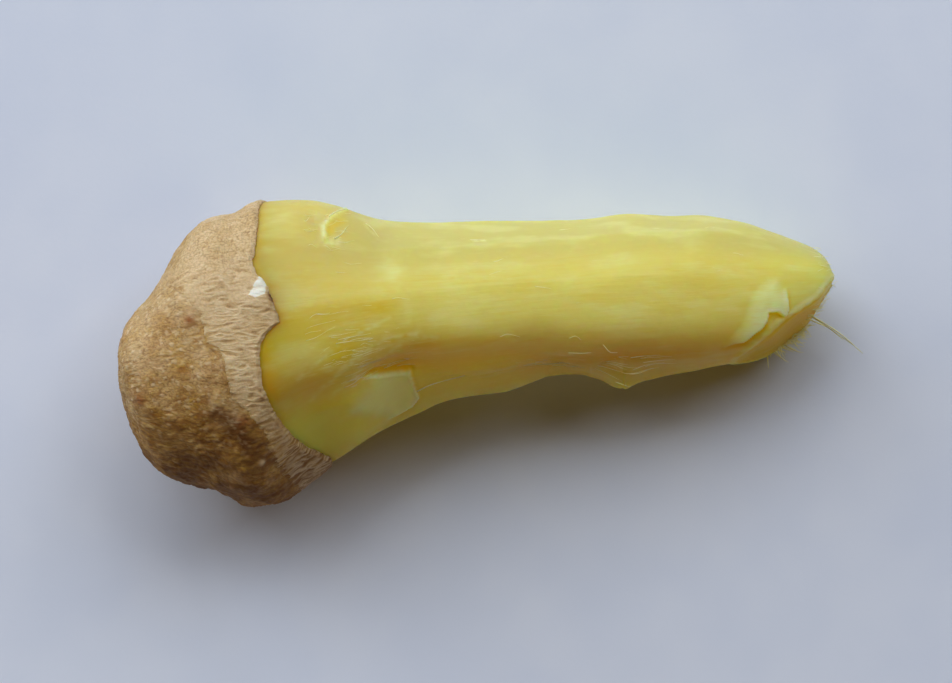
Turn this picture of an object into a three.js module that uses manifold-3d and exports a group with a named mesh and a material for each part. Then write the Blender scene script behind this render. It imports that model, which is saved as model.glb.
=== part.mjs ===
import * as THREE from "three";
import { mergeVertices } from "three/addons/utils/BufferGeometryUtils.js";
import Module from "manifold-3d";

// A ginger root in one piece, lying on its side: a squat bulb that keeps its brown skin, and a thick finger
// that was peeled with a knife and cut off at its tip. Millimetres, +X from the bulb to the tip, +Z up.
// X counts from the bulb's end, Y from the middle of the finger and Z from the table, until the last lines
// move the origin under the middle of the whole root.

// ---- Driving dimensions ----
const ROOT_LENGTH = 112; // of the middle line, before the bulb's end is blunted and the tip is cut
const BULB_WIDTH = 45; // across the root, along Y
const BULB_HEIGHT = 37; // off the table
const SKIN_THICKNESS = 0.5; // the step where the peeling began
const FOOT_DEPTH = 0.5; // how far the underside is flattened where it rests
const FIBRE_THICKNESS = 0.6;
const BROAD_LUMPS = { across: 6, onFlesh: 0.15, onSkin: 0.4 }; // heights after the width
const SMALL_LUMPS = { across: 2.5, onSkin: 0.25 };

// ---- Mesh fineness ----
const AROUND = 64;
const CROWDING = 22; // degrees: draws the points round the root together on its upper side
const SKIN_RINGS = 22;
const FLESH_RINGS = 60;

// ---- Small maths ----
const radians = THREE.MathUtils.degToRad;
const { clamp, lerp, smoothstep, euclideanModulo } = THREE.MathUtils;
const bell = (distance, width) => Math.exp(-((distance / width) ** 2));
const turnFrom = (a, b) => euclideanModulo(a - b + 180, 360) - 180;

// A smooth curve through a table's rows [place, value, value, ...], read at a place.
function tableAt(rows, place) {
  let i = 0;
  while (i < rows.length - 2 && place > rows[i + 1][0]) i++;
  const before = rows[Math.max(i - 1, 0)];
  const from = rows[i];
  const to = rows[i + 1];
  const after = rows[Math.min(i + 2, rows.length - 1)];
  const span = to[0] - from[0];
  const t = clamp((place - from[0]) / span, 0, 1);
  return from.slice(1).map((value, k) => {
    const next = to[k + 1];
    const slopeIn = ((next - before[k + 1]) / (to[0] - before[0])) * span;
    const slopeOut = ((after[k + 1] - value) / (after[0] - from[0])) * span;
    const rest = 3 * (next - value) - 2 * slopeIn - slopeOut;
    const last = 2 * (value - next) + slopeIn + slopeOut;
    return value + t * (slopeIn + t * (rest + t * last));
  });
}

// The lesser of two lengths, with the corner between them rounded.
function softMin(a, b, rounding) {
  const near = Math.max(rounding - Math.abs(a - b), 0) / rounding;
  return Math.min(a, b) - (near * near * rounding) / 4;
}

// Smooth lumps, between -1 and 1, at a point in space.
function lumpsAt(point, across) {
  const place = point.toArray().map((v) => v / across);
  const cell = place.map(Math.floor);
  const ease = place.map((v, k) => smoothstep(v - cell[k], 0, 1));
  let sum = 0;
  for (let corner = 0; corner < 8; corner++) {
    const bit = [corner & 1, (corner >> 1) & 1, corner >> 2];
    const weight = bit.reduce((product, b, k) => product * (b ? ease[k] : 1 - ease[k]), 1);
    const seed = (cell[0] + bit[0]) * 127.1 + (cell[1] + bit[1]) * 311.7 + (cell[2] + bit[2]) * 74.7;
    sum += weight * (2 * euclideanModulo(Math.sin(seed) * 43758.5453, 1) - 1);
  }
  return sum;
}

// ---- The root's middle line and its outlines ----
// Shares of ROOT_LENGTH, then the middle's Y in shares of BULB_WIDTH and its Z in shares of BULB_HEIGHT.
const MIDDLE = [
  [0.0, -0.285, 0.47],
  [0.16, -0.18, 0.5],
  [0.31, -0.093, 0.51],
  [0.43, -0.05, 0.495],
  [0.63, 0.0, 0.43],
  [0.81, 0.029, 0.352],
  [1.0, 0.053, 0.285],
];
// Shares of ROOT_LENGTH, then from the middle to the far and the near outline in shares of BULB_WIDTH,
// and to the top and the underside in shares of BULB_HEIGHT. endRound rounds off the two ends.
const OUTLINE = [
  [0.0, 0.16, 0.42, 0.36, 0.36],
  [0.025, 0.195, 0.4, 0.4, 0.4],
  [0.06, 0.22, 0.385, 0.44, 0.44],
  [0.114, 0.345, 0.46, 0.48, 0.485],
  [0.163, 0.462, 0.53, 0.5, 0.51],
  [0.205, 0.45, 0.505, 0.49, 0.49],
  [0.238, 0.478, 0.472, 0.475, 0.465],
  [0.31, 0.442, 0.405, 0.41, 0.4],
  [0.373, 0.35, 0.384, 0.355, 0.345],
  [0.436, 0.32, 0.318, 0.325, 0.325],
  [0.533, 0.302, 0.303, 0.31, 0.32],
  [0.633, 0.284, 0.267, 0.305, 0.305],
  [0.704, 0.293, 0.32, 0.308, 0.33],
  [0.764, 0.283, 0.303, 0.3, 0.345],
  [0.813, 0.28, 0.285, 0.29, 0.352],
  [0.869, 0.247, 0.268, 0.265, 0.335],
  [0.918, 0.196, 0.262, 0.235, 0.28],
  [0.953, 0.158, 0.24, 0.205, 0.24],
  [1.0, 0.11, 0.22, 0.18, 0.2],
];
const BULB_END = 7; // lengths that are rounded off
const TIP_END = 4;
const BLUNT_END = 1.1; // X of the blunt end where the bulb broke off its neighbour
const BLUNT_ROUNDING = 1.5;
const SQUARENESS = 2.2; // of the cross-section: 2 is an ellipse

// 0 at either end of the root, 1 past the rounded lengths.
function endRound(s) {
  const left = 1 - clamp(s / BULB_END, 0, 1);
  const right = 1 - clamp((ROOT_LENGTH - s) / TIP_END, 0, 1);
  return Math.sqrt((1 - left * left) * (1 - right * right));
}

function middleAt(s) {
  const [y, z] = tableAt(MIDDLE, s / ROOT_LENGTH);
  return new THREE.Vector3(s, y * BULB_WIDTH, z * BULB_HEIGHT);
}

// The middle at s, and the two directions of the cross-section there: to the far side, and up.
function sectionAt(s) {
  const along = middleAt(s + 1).sub(middleAt(s - 1)).normalize();
  const far = new THREE.Vector3(0, 0, 1).cross(along).normalize();
  return { middle: middleAt(s), far, up: along.clone().cross(far) };
}

// ---- The skin ----
// Where the peeling began. Angles are degrees round the middle line: 0 far, 90 up, 180 near, 270 down.
const SKIN_END = 0.229 * ROOT_LENGTH;
const SKIN_EDGE = [
  [-12, 1.9],
  [32, 1.2],
  [47, 0.3],
  [52, -0.2],
  [58, 0.2],
  [62, 1.0],
  [72, 1.5],
  [82, 1.7],
  [86, -0.3],
  [90, -1.3],
  [97, -2.0],
  [108, -2.5],
  [123, -2.3],
  [147, -1.3],
  [165, -0.2],
  [182, 2.3],
  [205, 1.5],
  [240, -1.2],
  [280, 0.8],
  [315, -0.8],
  [348, 1.9],
];
function skinEnd(angle) {
  const turn = angle > 348 ? angle - 360 : angle;
  const after = Math.max(SKIN_EDGE.findIndex(([edgeAngle]) => edgeAngle >= turn), 1);
  const [[fromAngle, from], [toAngle, to]] = SKIN_EDGE.slice(after - 1, after + 1);
  return SKIN_END + lerp(from, to, (turn - fromAngle) / (toAngle - fromAngle));
}

// Ridges that run round the bulb where scale leaves grew: s, wander of the ridge, height.
const LEAF_SCARS = [
  [6.0, 1.2, 0.25],
  [15.3, -1.2, 0.4],
];
const LEAF_SCAR_WIDTH = 0.9;

// ---- Lumps and hollows: s, angle, half-sizes along and round in mm, height ----
const RELIEF = [
  [13.0, 182, 2.2, 2.6, 2.1], // bud on the near side of the bulb
  [8.0, 183, 2.2, 3.0, 0.9],
  [1.8, 40, 2.2, 3.0, 0.9], // old stalk scar at the bulb's end
  [9.0, 110, 4.0, 6.0, 0.6],
  [17.7, 120, 1.4, 2.4, -0.4], // dark scar by the skin's edge
  [10.0, 215, 4.0, 4.0, 0.8],
  [21.0, 330, 4.0, 5.0, 0.8],
  [35.6, 34, 1.6, 3.4, -0.7], // nick near the far side of the neck
  [43.8, 77, 3.0, 7.0, 0.45], // edge that a stroke of the knife left
  [39.3, 122, 3.0, 0.9, -1.0], // slit above the first flap
  [67.0, 128, 20.0, 2.6, -0.25], // trough along the near side of the finger
  [54.5, 149, 9.0, 1.5, 0.5], // rim under the trough
  [69.0, 165, 3.0, 4.0, -0.6], // dent in the near outline
  [77.1, 178, 2.8, 4.0, 2.8], // corner in the near outline
];

// ---- Flaps of flesh that a stroke left standing: corners seen from above, and height ----
const FLAPS = [
  { height: 0.8, corners: [[36, -15], [39, -11.7], [45, -10.9], [46, -14.5], [43, -17], [39, -17.4]] },
  {
    height: 0.7,
    corners: [[92.6, -6.8], [95.6, -3], [97, 1.5], [101, 4.1], [102.8, 1.7], [103.2, -1.4], [99.8, -2], [98.5, -4.5]],
  },
];

// How far a point is inside an outline, in mm, or the distance to it as a minus.
function depthInside(x, y, corners) {
  let inside = false;
  let nearest = Infinity;
  corners.forEach(([ax, ay], k) => {
    const [bx, by] = corners[(k + 1) % corners.length];
    const share = clamp(((x - ax) * (bx - ax) + (y - ay) * (by - ay)) / ((bx - ax) ** 2 + (by - ay) ** 2), 0, 1);
    nearest = Math.min(nearest, Math.hypot(x - lerp(ax, bx, share), y - lerp(ay, by, share)));
    if (ay > y !== by > y && x < lerp(ax, bx, (y - ay) / (by - ay))) inside = !inside;
  });
  return inside ? nearest : -nearest;
}

// ---- Strokes of the knife: a point on each flat, the way it faces, where it runs, how round its edge is ----
const STROKES = [
  { point: [58.6, -5.6, 28.2], facing: [0.185, -0.8, 0.6], from: 44, to: 62, rounding: 2.5 },
  { point: [62.5, -5.6, 28.2], facing: [0.1, -0.8, 0.6], from: 62, to: 103, rounding: 2.5 },
  { point: [36, -16.5, 27], facing: [0.25, -0.75, 0.6], from: 30, to: 46, rounding: 3 },
  { point: [99, 6.5, 21.5], facing: [0.25, 0.4, 0.88], from: 92, to: 112, rounding: 2 },
].map(({ point, facing, ...rest }) => ({
  point: new THREE.Vector3(...point),
  facing: new THREE.Vector3(...facing).normalize(),
  ...rest,
}));
const STROKE_FADE = 6; // length over which a stroke runs out

// Distance from the middle line to the surface at s, in a direction across it.
function radiusAt(s, angle, section, direction) {
  const [far, near, top, under] = tableAt(OUTLINE, s / ROOT_LENGTH);
  const across = Math.abs(Math.cos(radians(angle))) / ((Math.abs(turnFrom(angle, 0)) < 90 ? far : near) * BULB_WIDTH);
  const upright = Math.abs(Math.sin(radians(angle))) / ((angle < 180 ? top : under) * BULB_HEIGHT);
  let r = endRound(s) * (across ** SQUARENESS + upright ** SQUARENESS) ** (-1 / SQUARENESS);
  for (const { point, facing, from, to, rounding } of STROKES) {
    const toward = direction.dot(facing);
    if (toward < 0.1) continue;
    const reach = point.clone().sub(section.middle).dot(facing) / toward;
    const outside = Math.max(from - s, s - to, 0) / STROKE_FADE;
    r = softMin(r, reach + 2 * outside * outside, rounding);
  }
  const onSkin = s < skinEnd(angle);
  const place = direction.clone().multiplyScalar(r).add(section.middle);
  r += (onSkin ? BROAD_LUMPS.onSkin : BROAD_LUMPS.onFlesh) * lumpsAt(place, BROAD_LUMPS.across);
  for (const [at, turn, long, wide, high] of RELIEF) {
    r += high * bell(s - at, long) * bell(radians(turnFrom(angle, turn)) * r, wide);
  }
  if (onSkin) {
    r += SMALL_LUMPS.onSkin * lumpsAt(place, SMALL_LUMPS.across);
    for (const [at, wander, high] of LEAF_SCARS) {
      r += high * bell(s - at - wander * Math.sin(radians(angle * 2 + 40)), LEAF_SCAR_WIDTH);
    }
    r += SKIN_THICKNESS;
  }
  if (angle > 20 && angle < 190) {
    for (const { height, corners } of FLAPS) {
      r += height * smoothstep(depthInside(place.x, place.y, corners), -0.3, 0.5);
    }
  }
  return r;
}

// A point of the surface, held behind the bulb's blunt end.
function blunted(point) {
  point.x = -softMin(-point.x, -BLUNT_END, BLUNT_ROUNDING);
  return point;
}

function surfaceAt(s, angle) {
  const section = sectionAt(s);
  const direction = section.far.clone().multiplyScalar(Math.cos(radians(angle)));
  direction.addScaledVector(section.up, Math.sin(radians(angle)));
  return blunted(section.middle.addScaledVector(direction, radiusAt(s, angle, section, direction)));
}

// ---- The body ----
// A closed surface: a point, rings with equal numbers of points, and a point.
function closedLoft(first, rings, last) {
  const count = rings[0].length;
  const points = [first, ...rings.flat(), last];
  const index = [];
  const at = (ring, k) => 1 + ring * count + (k % count);
  for (let k = 0; k < count; k++) {
    index.push(0, at(0, k + 1), at(0, k));
    for (let ring = 0; ring < rings.length - 1; ring++) {
      index.push(at(ring, k), at(ring, k + 1), at(ring + 1, k));
      index.push(at(ring, k + 1), at(ring + 1, k + 1), at(ring + 1, k));
    }
    index.push(at(rings.length - 1, k), at(rings.length - 1, k + 1), points.length - 1);
  }
  const geometry = new THREE.BufferGeometry().setFromPoints(points);
  geometry.setIndex(index);
  return geometry;
}

// Rings over the skin, then rings over the flesh, with a narrow step between the two.
function rootBody() {
  const angles = Array.from({ length: AROUND }, (_, k) => {
    const even = (360 * k) / AROUND;
    return euclideanModulo(even + CROWDING * Math.cos(radians(even)), 360);
  });
  const halfStep = 0.15;
  const rings = [];
  for (let i = 1; i <= SKIN_RINGS; i++) {
    const share = (i / SKIN_RINGS) ** 1.5;
    rings.push(angles.map((angle) => surfaceAt((skinEnd(angle) - halfStep) * share, angle)));
  }
  for (let i = 0; i < FLESH_RINGS; i++) {
    const share = i / FLESH_RINGS;
    rings.push(angles.map((angle) => surfaceAt(lerp(skinEnd(angle) + halfStep, ROOT_LENGTH, share), angle)));
  }
  return closedLoft(blunted(middleAt(0)), rings, middleAt(ROOT_LENGTH));
}

// ---- Loose fibres at the cut tip: points from inside the root to the loose end ----
const LOOSE_FIBRES = [
  [[104, -0.5, 9], [109.3, -2.5, 8.4], [113.7, -5.2, 7.6], [117.5, -8.3, 6.4]],
  [[104, -1.5, 8], [109.8, -3.3, 7.2], [111.9, -4.2, 6.8], [114.5, -6.1, 6.0]],
];
function looseFibre(points) {
  const path = new THREE.CatmullRomCurve3(points.map((p) => new THREE.Vector3(...p)));
  const section = new THREE.Shape().absarc(0, 0, FIBRE_THICKNESS / 2, 0, 2 * Math.PI);
  return new THREE.ExtrudeGeometry(section, { steps: 12, curveSegments: 6, extrudePath: path });
}

// ---- Cutting and joining ----
const wasm = await Module();
wasm.setup();

function solidOf(geometry) {
  geometry.deleteAttribute("normal");
  geometry.deleteAttribute("uv");
  const merged = mergeVertices(geometry, 1e-4);
  const vertProperties = merged.attributes.position.array;
  const triVerts = new Uint32Array(merged.index.array);
  return new wasm.Manifold(new wasm.Mesh({ numProp: 3, vertProperties, triVerts }));
}

// The space under the table's top, a little above it: cutting it away leaves the flat spots the root rests on.
function belowTable() {
  const slab = new THREE.BoxGeometry(2 * ROOT_LENGTH, 3 * BULB_WIDTH, BULB_HEIGHT);
  return slab.translate(ROOT_LENGTH / 2, 0, FOOT_DEPTH - BULB_HEIGHT / 2);
}

// What two cuts took off at the tip: for each a point on the flat that it left, and the way the flat faces.
const TIP_CUTS = [
  { point: [110.3, 1.5, 15.5], facing: [0.8, -0.56, 0.2] },
  { point: [106.5, -4.8, 10.0], facing: [0.58, -0.76, 0.3] },
];
function beyondCut({ point, facing }) {
  const outward = new THREE.Vector3(...facing).normalize();
  const block = new THREE.BoxGeometry(BULB_WIDTH, BULB_WIDTH, BULB_HEIGHT);
  block.translate(0, 0, BULB_HEIGHT / 2);
  block.applyQuaternion(new THREE.Quaternion().setFromUnitVectors(new THREE.Vector3(0, 0, 1), outward));
  return block.translate(...point);
}

let solid = solidOf(rootBody());
solid = solid.subtract(solidOf(belowTable()));
for (const cut of TIP_CUTS) solid = solid.subtract(solidOf(beyondCut(cut)));
for (const points of LOOSE_FIBRES) solid = solid.add(solidOf(looseFibre(points)));

const { vertProperties, triVerts } = solid.getMesh();
const geometry = new THREE.BufferGeometry();
geometry.setAttribute("position", new THREE.BufferAttribute(vertProperties, 3));
geometry.setIndex(new THREE.BufferAttribute(triVerts, 1));
geometry.computeBoundingBox();
const { min, max } = geometry.boundingBox;
geometry.translate(-(min.x + max.x) / 2, -(min.y + max.y) / 2, -min.z);
geometry.computeVertexNormals();

const peeledFlesh = new THREE.MeshStandardMaterial({ color: 0xd6c65c, roughness: 0.45, metalness: 0 });
const root = new THREE.Mesh(geometry, peeledFlesh);
root.name = "ginger_root";

const part = new THREE.Group();
part.add(root);
export default part;
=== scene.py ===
"""A partly peeled ginger root on a sheet of paper, seen from straight above.

The root's form is read off the CAD node with rays. The pieces that replace the node get the fine relief:
wrinkled skin over the bulb, and peeled flesh with its fibres, slits and flaps over the rest.

Lengths are in millimetres in the root's own coordinates until to_world: X from the bulb's end, Y from the
middle of the finger, Z from the paper. A place on the root is given by s, how far along the root it is,
and by an angle round it, in degrees: 0 far, 90 up, 180 near, 270 down.
"""

import bpy
import numpy as np
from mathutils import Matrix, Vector
from mathutils.bvhtree import BVHTree


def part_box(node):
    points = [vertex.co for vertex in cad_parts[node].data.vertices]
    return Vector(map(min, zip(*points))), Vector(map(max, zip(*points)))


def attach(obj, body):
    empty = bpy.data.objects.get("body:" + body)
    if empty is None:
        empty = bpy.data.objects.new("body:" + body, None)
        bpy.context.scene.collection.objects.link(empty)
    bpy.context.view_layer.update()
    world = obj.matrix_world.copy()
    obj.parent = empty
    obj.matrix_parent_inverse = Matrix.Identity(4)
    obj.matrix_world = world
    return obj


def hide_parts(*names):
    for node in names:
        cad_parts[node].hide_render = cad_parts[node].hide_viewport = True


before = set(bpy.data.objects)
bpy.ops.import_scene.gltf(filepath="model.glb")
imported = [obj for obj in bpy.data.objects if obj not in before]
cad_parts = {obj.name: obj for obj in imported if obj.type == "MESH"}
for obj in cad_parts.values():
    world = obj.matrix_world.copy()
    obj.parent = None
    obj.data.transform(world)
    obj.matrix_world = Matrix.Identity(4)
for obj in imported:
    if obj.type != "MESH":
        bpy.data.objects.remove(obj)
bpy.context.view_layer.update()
ROOT = "ginger_root"
FINE = 1.0  # share of the full number of rows and columns

# ---- The root's coordinates, from the frame ----
MM = 0.001
BLUNT_END = 1.1  # X of the bulb's blunt end
FAR_REACH = 15.643  # from the middle of the finger to the far side of the bulb
LOW, HIGH = (np.array(corner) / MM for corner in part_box(ROOT))
ORIGIN = np.array([LOW[0] - BLUNT_END, HIGH[1] - FAR_REACH, LOW[2]])
BOX_MARGIN = 0.01  # between the pieces and the sides and top of the CAD node's box


def to_world(points):
    """Root millimetres to scene metres, held inside the CAD node's box."""
    low = LOW + np.array([BOX_MARGIN, BOX_MARGIN, 0])
    return np.clip(np.asarray(points) + ORIGIN, low, HIGH - BOX_MARGIN) * MM


# ---- Small maths ----
def smooth(x, low, high):
    """0 at low and before it, 1 at high and past it. With low above high it falls instead."""
    t = np.clip((x - low) / (high - low), 0, 1)
    return t * t * (3 - 2 * t)


def bell(distance, width):
    """1 at no distance, falling off evenly on both sides."""
    return np.exp(-((distance / width) ** 2))


def between(x, low, high, soft):
    """1 between low and high, with ends that are soft wide on each side."""
    return smooth(x, low - soft, low + soft) * (1 - smooth(x, high - soft, high + soft))


def turn_from(a, b):
    """The turn in degrees from b to a, -180 to 180."""
    return (a - b + 180) % 360 - 180


def unit(v):
    return v / np.linalg.norm(v, axis=-1, keepdims=True)


def mix(a, b, share):
    return a + (b - a) * share


def table_at(rows, place):
    """A smooth curve through rows of (place, value, ...), read at an array of places: shape (..., values)."""
    rows = np.array(rows, float)
    knots, values = rows[:, 0], rows[:, 1:]
    slopes = np.gradient(values, knots, axis=0)
    place = np.clip(place, knots[0], knots[-1])
    i = np.clip(np.searchsorted(knots, place, side="right") - 1, 0, len(knots) - 2)
    span = (knots[i + 1] - knots[i])[..., None]
    t = (place - knots[i])[..., None] / span
    rise = values[i + 1] - values[i]
    start, finish = span * slopes[i], span * slopes[i + 1]
    return values[i] + t * (start + t * (3 * rise - 2 * start - finish + t * (start + finish - 2 * rise)))


GRADIENTS = np.array([(a, b, 0) for a in (-1, 1) for b in (-1, 1)], float)
GRADIENTS = np.concatenate([np.roll(GRADIENTS, shift, axis=1) for shift in range(3)])


def scrambled(cell, seed):
    """A whole number from whole coordinates (..., 3), different for each seed."""
    n = cell @ np.array([374761393, 668265263, 974634777]) + seed * 144665
    n = (n ^ (n >> 13)) * 1274126177 & 0x7FFFFFFF
    n = (n ^ (n >> 11)) * 668265263 & 0x7FFFFFFF
    return n >> 7


def noise(points, seed):
    """Gradient noise of unit grain at points (..., 3), about -1 to 1."""
    cell = np.floor(points).astype(np.int64)
    inside = points - cell
    ease = inside**3 * (inside * (inside * 6 - 15) + 10)
    total = np.zeros(points.shape[:-1])
    for corner in np.ndindex(2, 2, 2):
        slope = (GRADIENTS[scrambled(cell + corner, seed) % 12] * (inside - corner)).sum(-1)
        total += slope * np.where(corner, ease, 1 - ease).prod(-1)
    return total


def cells(points, seed):
    """Cellular noise at points (..., 3).

    Gives how far each is from its cell's border, about 0 to 0.8, and the cell's own number, 0 to 1.
    """
    home = np.floor(points).astype(np.int64)
    first = np.full(points.shape[:-1], 9.0)
    second, own = first.copy(), first * 0
    for offset in np.ndindex(3, 3, 3):
        cell = home + offset - 1
        draw = scrambled(cell, seed)
        jitter = np.stack([draw % 997, draw // 997 % 991, draw // 991 % 983], axis=-1) / 1000
        away = np.linalg.norm(cell + jitter - points, axis=-1)
        closer = away < first
        second = np.where(closer, first, np.minimum(second, away))
        own = np.where(closer, draw % 1009 / 1009, own)
        first = np.where(closer, away, first)
    return second - first, own


def layered(points, octaves, seed):
    """Noise with finer noise added, each layer half as strong and half as wide as the last."""
    return sum(noise(points * 2**k, seed + k) / 2**k for k in range(octaves))


def ridged(points, octaves, seed):
    """Noise folded at zero, so that it has sharp crests: about 0 in the hollows, 1 on the crests."""
    total = sum((1 - np.abs(noise(points * 2**k, seed + k)) * 2) / 2**k for k in range(octaves))
    return total / sum(0.5**k for k in range(octaves))


# ---- The root's middle line, and the rays that read its form ----
MIDDLE = [  # X, Y, Z
    (0, -12.8, 17.4), (18, -8.1, 18.5), (34.7, -4.2, 18.9), (48, -2.3, 18.2), (70.6, 0, 15.9),
    (90.7, 1.3, 13), (112, 2.4, 10.5),
]
BULB_CENTRE, TIP_CENTRE = 10, 103  # past these places on X the rays fan out over the two ends
BULB_ARC, TIP_ARC = 22, 12  # length along the surface from there to the very ends
START, END = BULB_CENTRE - BULB_ARC, TIP_CENTRE + TIP_ARC
END_GAP = 0.02  # the pieces stop this far from the very ends, where all rays meet


def middle(s):
    return np.concatenate([np.asarray(s, float)[..., None], table_at(MIDDLE, s)], axis=-1)


def rays(s, angle):
    """Where the ray to the surface at s and angle starts, and its direction.

    s is X on the middle line between the two centres, and past them length along the surface.
    """
    s, angle = np.broadcast_arrays(np.asarray(s, float), angle)
    at = np.clip(s, BULB_CENTRE, TIP_CENTRE)
    along = unit(middle(at + 1) - middle(at - 1))
    far = unit(np.cross([0, 0, 1], along))
    turn = np.radians(angle)[..., None]
    outward = far * np.cos(turn) + np.cross(along, far) * np.sin(turn)
    over_bulb = np.clip((BULB_CENTRE - s) / BULB_ARC, 0, 1)
    over_tip = np.clip((s - TIP_CENTRE) / TIP_ARC, 0, 1)
    lean = ((over_bulb - over_tip) * np.pi / 2)[..., None]
    return middle(at), outward * np.cos(lean) - along * np.sin(lean)


# ---- The skin's cut edge ----
SKIN_THICKNESS = 0.5
SKIN_END = 25.65  # its usual s
SKIN_EDGE = [  # angle, how far past the usual s
    (-12, 1.9), (32, 1.2), (47, 0.3), (52, -0.2), (58, 0.2), (62, 1), (72, 1.5), (82, 1.7),
    (86, -0.3), (90, -1.3), (97, -2), (108, -2.5), (123, -2.3), (147, -1.3), (165, -0.2),
    (182, 2.3), (205, 1.5), (240, -1.2), (280, 0.8), (315, -0.8), (348, 1.9),
]


def skin_end(angle):
    turns, past = zip(*SKIN_EDGE)
    return SKIN_END + np.interp((np.asarray(angle) - turns[0]) % 360 + turns[0], turns, past)


# ---- The flaps that the knife left standing ----
# On the CAD node each is a lump of this height with these corners, which the form leaves out.
FLAP_LUMPS = [
    (0.8, [(36, -15), (39, -11.7), (45, -10.9), (46, -14.5), (43, -17), (39, -17.4)]),
    (
        0.7,
        [(92.6, -6.8), (95.6, -3), (97, 1.5), (101, 4.1), (102.8, 1.7), (103.2, -1.4), (99.8, -2),
         (98.5, -4.5)],
    ),
]


def away_from(xy, a, b):
    """The distance of points (..., 2) from the line between a and b."""
    share = np.clip(((xy - a) @ (b - a)) / ((b - a) @ (b - a)), 0, 1)
    return np.linalg.norm(xy - a - share[..., None] * (b - a), axis=-1)


def away_from_line(xy, points):
    """The distance of points (..., 2) from a line through several points."""
    points = np.array(points)
    nearest = np.full(xy.shape[:-1], np.inf)
    for a, b in zip(points[:-1], points[1:]):
        nearest = np.minimum(nearest, away_from(xy, a, b))
    return nearest


def depth_inside(xy, corners):
    """How far points (..., 2) are inside an outline, or the distance to it as a minus."""
    inside = np.zeros(xy.shape[:-1], bool)
    nearest = np.full(xy.shape[:-1], np.inf)
    for a, b in zip(np.array(corners), np.roll(corners, -1, axis=0)):
        nearest = np.minimum(nearest, away_from(xy, a, b))
        crosses = (a[1] > xy[..., 1]) != (b[1] > xy[..., 1])
        rise = b[1] - a[1] if b[1] != a[1] else 1
        inside ^= crosses & (xy[..., 0] < a[0] + (b[0] - a[0]) * (xy[..., 1] - a[1]) / rise)
    return np.where(inside, nearest, -nearest)


class Form:
    """The root's smooth form, read off the CAD node: how far each ray reaches, on a grid of s and angle."""

    ROWS, COLUMNS = 220, 160

    def __init__(self):
        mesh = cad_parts[ROOT].data
        corners = [Vector(v.co / MM) - Vector(ORIGIN) for v in mesh.vertices]
        tree = BVHTree.FromPolygons(corners, [p.vertices[:] for p in mesh.polygons])
        s = np.linspace(START, END, self.ROWS)[:, None]
        angle = np.arange(self.COLUMNS)[None] * 360 / self.COLUMNS
        start, direction = rays(s, angle)
        upper = (angle > 20) & (angle < 190)
        reach = np.empty(start.shape[:-1])
        for place in np.ndindex(*reach.shape):
            reach[place] = tree.ray_cast(Vector(start[place]), Vector(direction[place]))[3]
        reach -= SKIN_THICKNESS * (s < skin_end(angle))
        xy = (start + direction * reach[..., None])[..., :2]
        for height, outline in FLAP_LUMPS:
            reach -= height * smooth(depth_inside(xy, outline), -0.3, 0.5) * upper
        for _ in range(2):
            reach = self.blurred(reach)
        self.reach = reach

    @staticmethod
    def blurred(reach):
        """One light blur along and round the root, which takes off the solid's facets."""
        around = (np.roll(reach, 1, 1) + 2 * reach + np.roll(reach, -1, 1)) / 4
        padded = np.concatenate([around[1:2], around, around[-2:-1]])
        return (padded[:-2] + 2 * padded[1:-1] + padded[2:]) / 4

    def at(self, s, angle, lift=0.0):
        """Points on the form, or lift above it."""
        s, angle = np.broadcast_arrays(np.asarray(s, float), angle)
        row = np.clip((s - START) / (END - START), 0, 1) * (self.ROWS - 1)
        column = (angle % 360) * self.COLUMNS / 360
        i, j = np.floor(row).astype(int), np.floor(column).astype(int)
        reach = 0
        for di, wi in zip(range(-1, 3), self.weights(row - i)):
            for dj, wj in zip(range(-1, 3), self.weights(column - j)):
                place = np.clip(i + di, 0, self.ROWS - 1), (j + dj) % self.COLUMNS
                reach += wi * wj * self.reach[place]
        start, direction = rays(s, angle)
        return start + direction * (reach + lift)[..., None]

    @staticmethod
    def weights(t):
        """Catmull-Rom weights of four neighbours."""
        return (
            (-t + 2 * t**2 - t**3) / 2,
            (2 - 5 * t**2 + 3 * t**3) / 2,
            (t + 4 * t**2 - 3 * t**3) / 2,
            (t**3 - t**2) / 2,
        )


form = Form()


def normals_of(points):
    """Outward normals of a grid of points whose columns close round the root."""
    along = np.gradient(points, axis=0)
    around = np.roll(points, -1, 1) - np.roll(points, 1, 1)
    normal = np.cross(along, around)
    return -normal / np.maximum(np.linalg.norm(normal, axis=-1, keepdims=True), 1e-9)


USUAL_RADIUS = 13  # of the finger


def grain_of(s, angle):
    """Coordinates that follow the root's fibres: length along it, then a circle of its usual radius."""
    s, turn = np.broadcast_arrays(s, np.radians(angle))
    return np.stack([s, USUAL_RADIUS * np.cos(turn), USUAL_RADIUS * np.sin(turn)], axis=-1)


CROWDING = 22  # degrees by which the pieces' columns move toward the upper side at most


def ring_angles(count):
    """Angles round the root, closer together on its upper side."""
    even = np.arange(count) * 360 / count
    return even + CROWDING * np.cos(np.radians(even))


# ---- Meshes ----
def fill(layer, key, values):
    layer.data.foreach_set(key, np.ravel(values).astype("f"))


def new_piece(name, points, faces, material, vectors, floats=None, uv=None):
    mesh = bpy.data.meshes.new(name)
    mesh.from_pydata(to_world(points).tolist(), [], faces)
    mesh.shade_smooth()
    for key, values in (floats or {}).items():
        fill(mesh.attributes.new(key, "FLOAT", "POINT"), "value", values)
    for key, values in vectors.items():
        fill(mesh.attributes.new(key, "FLOAT_VECTOR", "POINT"), "vector", values)
    if uv is not None:
        fill(mesh.uv_layers.new(name="OFBake"), "uv", uv)
    mesh.materials.append(material)
    piece = bpy.data.objects.new(name, mesh)
    bpy.context.scene.collection.objects.link(piece)
    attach(piece, "root")
    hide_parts(ROOT)
    return piece


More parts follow.
